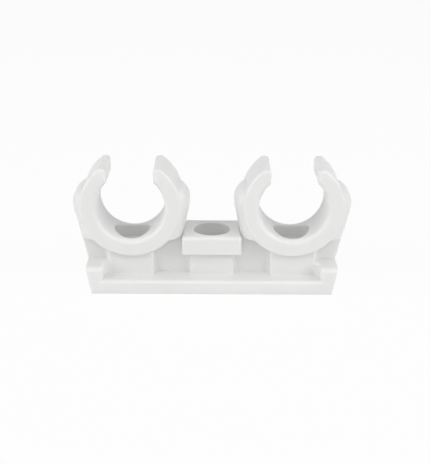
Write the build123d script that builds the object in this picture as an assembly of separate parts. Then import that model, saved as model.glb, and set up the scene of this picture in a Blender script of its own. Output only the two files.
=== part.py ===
"""Double pipe clip, moulded in one piece: two open rings side by side on a common base.

Millimetres. X runs along the base, Y along the pipes, Z up from the mounting face.
The origin is the middle of the underside.
"""

import os

from build123d import *

# Rings
PIPE_D = 20.0          # pipe that the rings take
PITCH = 47.4           # between the two pipe axes
PIPE_Z = 25.6          # pipe axis above the mounting face
RING_WALL = 5.0        # at the bottom of the ring
ARM_TAPER = 0.4        # how much thinner the wall gets from the bottom to the top of the ring
RING_DEPTH = 15.4      # along the pipe
MOUTH = 13.5           # opening between the two lips of a ring
TIP_OVER = 1.65        # height of the arm tips over the top of the pipe
BORE_ROUND = 1.4       # edges of the bore
RING_ROUND = 0.7       # outer edges of the ring
TIP_ROUND = 1.1        # inner corner of the arm tips
TIP_EDGE = 0.8         # edges of the lips and tips

# Web that carries the rings
WEB_T = 6.5            # lower web
WEB_ROUND = 0.5
CHEEK_STEP = 0.3       # how far the thick upper web stays behind the front of its ring
CHEEK_ROUND = 5.0
CHEEK_BOTTOM = 15.3    # height at which the thick upper web ends
CHEEK_EDGE = 0.8       # its lower edge
SHOULDER_R = 6.0       # rounded shoulder beside a ring
SHOULDER_OUT = 2.15    # how far a shoulder stands out from its ring
SHOULDER_UP = 0.25     # shoulder centre above the pipe axis
FOOT_IN = 1.8          # how far the web's foot stays inside its ring

# Base
BASE_DEPTH = 21.6
PLATE_T = 4.1          # plate between the end walls
PLATE_ROUND = 1.0
END_H = 8.2            # height of the end walls
END_T = 5.0            # thickness of the end walls at the top
END_LEAN = 1.5         # how far the ends lean inwards on their way down
END_ROUND = 1.5        # upright inner edges of the end walls
RIM_ROUND = 0.9        # upper inner edges of the end walls

# Screws, their posts and the middle block
HEAD_D = 10.8          # recess for the screw's head
SHANK_D = 5.2          # hole for the screw itself
SEAT_FLOOR = 1.4       # straight part of the recess ends this far above the ring's underside
RECESS_ROUND = 0.4     # upper rim of the recesses
POST_X = 13.0
POST_Y = 10.9
POST_OUT = 0.6         # how much further the outer posts reach towards the end walls
POST_ROUND = 0.8       # upright edges of the posts
POST_HOLLOW = 1.2      # hollow corners between the posts and the web
NECK_ROUND = 2.2       # hollow corner between a post and the end wall
FOOT_ROUND = 0.4       # hollow corner where the posts stand on the plate
BLOCK_X = 17.5
BLOCK_TOP = 16.6
BLOCK_H = 5.5
BLOCK_ROUND = 0.9
BLOCK_UNDER = 0.3      # lower edges of the block

# Places that follow from the sizes above
BORE_R = PIPE_D / 2
OUTER_R = BORE_R + RING_WALL
RING_X = PITCH / 2
RING_BOTTOM = PIPE_Z - OUTER_R
END_TOP_X = RING_X + OUTER_R - FOOT_IN
END_WALL_X = END_TOP_X - END_T
SCREW_XS = (-RING_X, 0, RING_X)
CHEEK_T = RING_DEPTH - 2 * CHEEK_STEP
FAR = PITCH + 2 * OUTER_R


def soft(radius, room):
    """A rounding, held to what the room beside it allows."""
    return min(radius, 0.45 * room)


def upright(sketch, depth):
    """A sketch stood up in the XZ plane and thickened equally to the front and the back."""
    return extrude(Plane.XZ * sketch, amount=depth / 2, both=True)


def mouth_cutter():
    """What is cut from a ring: the mouth, and all above the tips, with the tips' inner corners rounded."""
    tip_z = BORE_R + TIP_OVER
    mouth = Pos(0, tip_z / 2) * Rectangle(MOUTH, tip_z)
    above = Pos(0, tip_z + OUTER_R / 2) * Rectangle(4 * OUTER_R, OUTER_R)
    shape = mouth + above
    corners = [v for v in shape.vertices() if abs(v.Y - tip_z) < 0.01 and abs(v.X) < MOUTH]
    return upright(fillet(corners, TIP_ROUND), 2 * RING_DEPTH)


def ring():
    """One open ring about the pipe axis, with rounded edges and a wall that thins towards the tips."""
    outside = Pos(0, -ARM_TAPER / 2) * Circle(OUTER_R - ARM_TAPER / 2)
    whole = upright(outside - Circle(BORE_R), RING_DEPTH)
    beside_recess = (RING_DEPTH - HEAD_D) / 2 - RECESS_ROUND
    by_radius = whole.edges().filter_by(GeomType.CIRCLE).sort_by(SortBy.RADIUS)
    whole = fillet(by_radius[:2], min(BORE_ROUND, 0.9 * beside_recess))
    by_radius = whole.edges().filter_by(GeomType.CIRCLE).sort_by(SortBy.RADIUS)
    whole = fillet(by_radius[-2:], soft(RING_ROUND, RING_WALL - ARM_TAPER))
    cutter = mouth_cutter()
    body = whole - cutter
    return fillet(new_edges(whole, cutter, combined=body), TIP_EDGE)


def outline():
    """Outline of the web about the pipe axis: a rounded shoulder on each side and a narrower foot."""
    reach = OUTER_R + SHOULDER_OUT - SHOULDER_R
    shoulders = Pos(reach, SHOULDER_UP) * Circle(SHOULDER_R)
    shoulders += Pos(-reach, SHOULDER_UP) * Circle(SHOULDER_R)
    foot = Pos(0, END_H - PIPE_Z) * Rectangle(2 * (OUTER_R - FOOT_IN), 0.2)
    return make_hull(shoulders.edges() + foot.edges())


def lower_web():
    """Thin web from the shoulders down to the end walls."""
    body = upright(outline(), WEB_T)
    faces = body.faces().sort_by(Axis.Y)
    rims = faces[0].edges() + faces[-1].edges()
    return fillet(rims.sort_by(Axis.Z)[2:], soft(WEB_ROUND, WEB_T))


def cheeks():
    """Thick upper part of the web, with round edges."""
    above = Pos(0, CHEEK_BOTTOM - PIPE_Z + OUTER_R) * Rectangle(4 * OUTER_R, 2 * OUTER_R)
    body = upright(outline() & above, CHEEK_T)
    faces = body.faces().sort_by(Axis.Y)
    rims = faces[0].edges() + faces[-1].edges()
    body = fillet(rims.sort_by(Axis.Z)[2:], soft(CHEEK_ROUND, CHEEK_T))
    return fillet(body.faces().sort_by(Axis.Z)[0].edges(), soft(CHEEK_EDGE, CHEEK_T - WEB_T))


def posts():
    """Three posts for the screws and the web between them, drawn from above."""
    stub = END_TOP_X - END_T / 2
    plan = Rectangle(2 * stub, WEB_T) + Rectangle(POST_X, POST_Y)
    for side in (-1, 1):
        plan += Pos(side * (RING_X + POST_OUT / 2), 0) * Rectangle(POST_X + POST_OUT, POST_Y)
    room = (POST_Y - WEB_T) / 2
    edge = soft(POST_ROUND, room)
    plan = fillet([v for v in plan.vertices() if abs(v.Y) > WEB_T / 2 + 0.01], edge)
    corners = [v for v in plan.vertices() if abs(abs(v.Y) - WEB_T / 2) < 0.01 and abs(v.X) < stub - 0.1]
    plan = fillet(corners, soft(POST_HOLLOW, 2 * (room - edge)))
    return extrude(plan, amount=BLOCK_TOP - BLOCK_ROUND)


def end_block():
    """The right-hand end wall with the neck that ties it to the nearest post."""
    wall = Pos(END_WALL_X + END_T, 0) * Rectangle(2 * END_T, BASE_DEPTH)
    neck = Pos((RING_X + END_WALL_X) / 2 + 1, 0) * Rectangle(END_WALL_X - RING_X + 2, POST_Y)
    plan = wall + neck
    room = (BASE_DEPTH - POST_Y) / 2
    at_wall = [v for v in plan.vertices() if abs(v.X - END_WALL_X) < 0.01]
    hollow = [v for v in at_wall if abs(v.Y) < BASE_DEPTH / 2 - 0.1]
    body = extrude(fillet(hollow, soft(NECK_ROUND, room)), amount=END_H)
    top = body.faces().sort_by(Axis.Z)[-1]
    rim = [e for e in top.edges() if abs(e.center().Y) > 1 and e.center().X < END_WALL_X + 0.01]
    body = fillet(rim, soft(RIM_ROUND, END_H - PLATE_T))
    nose = [e for e in body.edges().filter_by(Axis.Z) if abs(e.center().X - END_WALL_X) < 0.01]
    nose = [e for e in nose if abs(e.center().Y) > BASE_DEPTH / 2 - 0.01]
    return fillet(nose, soft(END_ROUND, room))


def plate():
    """Plate along the whole base, with soft upper edges at the front and the back."""
    body = Pos(0, 0, PLATE_T / 2) * Box(FAR, BASE_DEPTH, PLATE_T)
    rims = body.edges().filter_by(Axis.X).group_by(Axis.Z)[-1]
    return fillet(rims, soft(PLATE_ROUND, PLATE_T))


def floor():
    """The plate with the posts standing on it in hollow corners."""
    slab = plate()
    uprights = posts()
    body = slab + uprights
    return fillet(new_edges(slab, uprights, combined=body), FOOT_ROUND)


def block():
    """Block between the rings that holds the middle screw."""
    body = Pos(0, 0, BLOCK_TOP - BLOCK_H / 2) * Box(BLOCK_X, RING_DEPTH, BLOCK_H)
    body = fillet(body.edges().sort_by(Axis.Z)[4:], soft(BLOCK_ROUND, BLOCK_H))
    return fillet(body.faces().sort_by(Axis.Z)[0].edges(), BLOCK_UNDER)


def end_planes():
    """All that lies between the leaning ends of the base, and all above the end walls."""
    foot_x = END_TOP_X - END_LEAN
    right = [(foot_x, 0), (END_TOP_X, END_H), (FAR, END_H), (FAR, 2 * PIPE_Z)]
    left = [(-x, z) for x, z in reversed(right)]
    return upright(Polygon(*right, *left, align=None), 2 * BASE_DEPTH)


def screw_hole(x):
    """Straight recess for the head, a cone below it and the hole for the screw."""
    seat_z = RING_BOTTOM + SEAT_FLOOR
    cone_h = (HEAD_D - SHANK_D) / 2
    head = Pos(x, 0, seat_z + PIPE_Z / 2) * Cylinder(HEAD_D / 2, PIPE_Z)
    cone = Pos(x, 0, seat_z - cone_h / 2) * Cone(SHANK_D / 2, HEAD_D / 2, cone_h)
    shank = Pos(x, 0, PIPE_Z / 2) * Cylinder(SHANK_D / 2, 2 * PIPE_Z)
    return head + cone + shank


def clip():
    """The whole clip as one moulded piece."""
    pipes = [Pos(x, 0, PIPE_Z) for x in (-RING_X, RING_X)]
    right_end = end_block()
    body = floor() + right_end + mirror(right_end, about=Plane.YZ) + block()
    for pipe in pipes:
        body += pipe * lower_web()
        body += pipe * cheeks()
    body &= end_planes()
    for pipe in pipes:
        body -= pipe * Rot(90, 0, 0) * Cylinder(BORE_R + RING_WALL / 2, 2 * BASE_DEPTH)
    for pipe in pipes:
        body += pipe * ring()
    holes = [screw_hole(x) for x in SCREW_XS]
    bored = body - holes
    rims = new_edges(body, *holes, combined=bored).filter_by(lambda e: e.center().Z > RING_BOTTOM)
    return fillet(rims, RECESS_ROUND)


os.makedirs("parts", exist_ok=True)
piece = clip()
piece.label = "double_pipe_clip"
export_step(piece, "parts/double_pipe_clip.step")
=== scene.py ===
"""Studio scene for the double pipe clip.

White moulded plastic on a white floor, seen from the front and above.
"""

import math

import bpy
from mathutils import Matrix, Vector

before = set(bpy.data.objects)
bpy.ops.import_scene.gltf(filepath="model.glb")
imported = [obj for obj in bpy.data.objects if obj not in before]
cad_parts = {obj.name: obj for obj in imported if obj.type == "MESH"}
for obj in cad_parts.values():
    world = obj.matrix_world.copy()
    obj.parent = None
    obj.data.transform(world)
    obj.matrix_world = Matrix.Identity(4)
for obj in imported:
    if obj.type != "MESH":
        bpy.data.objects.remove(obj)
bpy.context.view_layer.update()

# Camera, in metres, degrees and pixels of the 430 by 465 picture
FRAME_W = 430
FRAME_H = 465
FOCAL_PX = 966.8
SENSOR = 36.0
AIM = Vector((0.0, 0.0, 0.0182))
AIM_PX = (211.95, 223.46)
DISTANCE = 0.2889
ELEVATION = 20.67
ROLL = 0.29

# Softboxes, in metres: azimuth from the front and elevation in degrees, then power in watts
BOX_AWAY = 0.8
BOX_SIZE = 0.6
BOXES = {
    "left_box": (-65, 28, 2.9),
    "right_box": (65, 28, 2.9),
    "front_box": (0, 35, 1.15),
    "back_box": (180, 60, 0.65),
}
EVEN_LIGHT = 0.3        # strength of the light from all round

# Plastic: tones of its faint clouds, range of roughness, and how many marks of each kind fit in a metre
TONE_LOW = (0.804, 0.804, 0.797, 1)
TONE_HIGH = (0.818, 0.818, 0.813, 1)
ROUGH_LOW = 0.30
ROUGH_HIGH = 0.42
CLOUDS = 55.0
SINK_MARKS = 160.0
GLOSS_PATCHES = 420.0
GRAINS = 2600.0
LIGHT_DEPTH = 0.002     # how deep light goes into the plastic, in metres

# Floor
FLOOR_SIZE = 6.0
FLOOR_GAP = 0.0002      # below the clip's underside, in metres
FLOOR_TONE = (0.93, 0.93, 0.93, 1)
FLOOR_PALE = 0.93       # how far the seen floor is lifted to white
WHITE = (1, 1, 1, 1)


def node(tree, kind, **values):
    """A new shader node with its plain settings and unlinked inputs filled in."""
    made = tree.nodes.new(kind)
    for key, value in values.items():
        if key in made.inputs:
            made.inputs[key].default_value = value
        else:
            setattr(made, key, value)
    return made


def material(name):
    """An empty node material and its tree."""
    made = bpy.data.materials.new(name)
    made.use_nodes = True
    made.node_tree.nodes.clear()
    return made, made.node_tree


def seen_straight(tree):
    """1 for rays that show the background: from the camera, off gloss and through glass."""
    path = node(tree, "ShaderNodeLightPath")
    either = node(tree, "ShaderNodeMath", operation="MAXIMUM")
    tree.links.new(path.outputs["Is Camera Ray"], either.inputs[0])
    tree.links.new(path.outputs["Is Glossy Ray"], either.inputs[1])
    all_three = node(tree, "ShaderNodeMath", operation="MAXIMUM")
    tree.links.new(either.outputs[0], all_three.inputs[0])
    tree.links.new(path.outputs["Is Transmission Ray"], all_three.inputs[1])
    return all_three.outputs[0]


def plastic():
    """White moulded plastic: satin, faintly cloudy, with fine grain and shallow sink marks."""
    made, tree = material("white_moulded_plastic")
    link = tree.links.new
    place = node(tree, "ShaderNodeTexCoord").outputs["Object"]
    out = node(tree, "ShaderNodeOutputMaterial")
    shader = node(tree, "ShaderNodeBsdfPrincipled")
    shader.inputs["IOR"].default_value = 1.49
    shader.inputs["Subsurface Weight"].default_value = 0.4
    shader.inputs["Subsurface Radius"].default_value = (1.0, 1.0, 0.95)
    shader.inputs["Subsurface Scale"].default_value = LIGHT_DEPTH
    link(shader.outputs["BSDF"], out.inputs["Surface"])

    cloud = node(tree, "ShaderNodeTexNoise", Scale=CLOUDS, Detail=3.0, Roughness=0.5)
    link(place, cloud.inputs["Vector"])
    cloudy = node(tree, "ShaderNodeValToRGB")
    low, high = cloudy.color_ramp.elements
    low.position, low.color = 0.3, TONE_LOW
    high.position, high.color = 0.7, TONE_HIGH
    link(cloud.outputs["Fac"], cloudy.inputs["Fac"])
    link(cloudy.outputs["Color"], shader.inputs["Base Color"])

    patchy = node(tree, "ShaderNodeTexNoise", Scale=GLOSS_PATCHES, Detail=4.0, Roughness=0.6)
    link(place, patchy.inputs["Vector"])
    gloss = node(tree, "ShaderNodeMapRange")
    gloss.inputs["To Min"].default_value = ROUGH_LOW
    gloss.inputs["To Max"].default_value = ROUGH_HIGH
    link(patchy.outputs["Fac"], gloss.inputs["Value"])
    link(gloss.outputs["Result"], shader.inputs["Roughness"])

    grain = node(tree, "ShaderNodeTexNoise", Scale=GRAINS, Detail=3.0, Roughness=0.6)
    link(place, grain.inputs["Vector"])
    sink = node(tree, "ShaderNodeTexNoise", Scale=SINK_MARKS, Detail=1.0, Roughness=0.4)
    link(place, sink.inputs["Vector"])
    fine = node(tree, "ShaderNodeBump", Strength=0.06, Distance=0.0002)
    link(grain.outputs["Fac"], fine.inputs["Height"])
    broad = node(tree, "ShaderNodeBump", Strength=0.05, Distance=0.001)
    link(sink.outputs["Fac"], broad.inputs["Height"])
    link(fine.outputs["Normal"], broad.inputs["Normal"])
    link(broad.outputs["Normal"], shader.inputs["Normal"])
    return made


def floor():
    """A wide white floor that keeps a faint shadow."""
    bpy.ops.mesh.primitive_plane_add(size=FLOOR_SIZE, location=(0, 0, -FLOOR_GAP))
    plane = bpy.context.active_object
    plane.name = "floor"
    made, tree = material("white_floor")
    link = tree.links.new
    out = node(tree, "ShaderNodeOutputMaterial")
    card = node(tree, "ShaderNodeBsdfDiffuse", Color=FLOOR_TONE)
    glow = node(tree, "ShaderNodeEmission", Color=WHITE, Strength=1.0)
    pale = node(tree, "ShaderNodeMixShader", Fac=FLOOR_PALE)
    link(card.outputs[0], pale.inputs[1])
    link(glow.outputs[0], pale.inputs[2])
    shown = node(tree, "ShaderNodeMixShader")
    link(seen_straight(tree), shown.inputs["Fac"])
    link(card.outputs[0], shown.inputs[1])
    link(pale.outputs[0], shown.inputs[2])
    link(shown.outputs[0], out.inputs["Surface"])
    plane.data.materials.append(made)


def surroundings():
    """White all round for the camera, and an even dim light for the object."""
    world = bpy.data.worlds.new("studio")
    bpy.context.scene.world = world
    world.use_nodes = True
    tree = world.node_tree
    tree.nodes.clear()
    link = tree.links.new
    out = node(tree, "ShaderNodeOutputWorld")
    even = node(tree, "ShaderNodeBackground", Color=WHITE, Strength=EVEN_LIGHT)
    white = node(tree, "ShaderNodeBackground", Color=WHITE, Strength=1.0)
    shown = node(tree, "ShaderNodeMixShader")
    link(seen_straight(tree), shown.inputs["Fac"])
    link(even.outputs[0], shown.inputs[1])
    link(white.outputs[0], shown.inputs[2])
    link(shown.outputs[0], out.inputs["Surface"])


def softbox(name, azimuth, elevation, power):
    """A square lamp that faces the middle of the clip."""
    lamp = bpy.data.lights.new(name, "AREA")
    lamp.size = BOX_SIZE
    lamp.energy = power
    made = bpy.data.objects.new(name, lamp)
    bpy.context.scene.collection.objects.link(made)
    a = math.radians(azimuth)
    e = math.radians(elevation)
    away = Vector((math.sin(a) * math.cos(e), -math.cos(a) * math.cos(e), math.sin(e)))
    made.location = AIM + away * BOX_AWAY
    made.rotation_euler = away.to_track_quat("Z", "Y").to_euler()


def camera():
    """The photograph's view."""
    data = bpy.data.cameras.new("camera")
    data.sensor_width = SENSOR
    data.lens = FOCAL_PX * SENSOR / FRAME_H
    data.shift_x = (FRAME_W / 2 - AIM_PX[0]) / FRAME_H
    data.shift_y = (AIM_PX[1] - FRAME_H / 2) / FRAME_H
    data.clip_start = 0.01
    data.clip_end = 50
    made = bpy.data.objects.new("camera", data)
    bpy.context.scene.collection.objects.link(made)
    e = math.radians(ELEVATION)
    made.location = AIM + DISTANCE * Vector((0, -math.cos(e), math.sin(e)))
    made.rotation_euler = (math.pi / 2 - e, 0, 0)
    made.rotation_euler.rotate_axis("Z", math.radians(ROLL))
    bpy.context.scene.camera = made


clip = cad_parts["double_pipe_clip"]
clip.data.materials.clear()
clip.data.materials.append(plastic())

floor()
surroundings()
for box, place in BOXES.items():
    softbox(box, *place)
camera()
bpy.context.scene.view_settings.view_transform = "Standard"
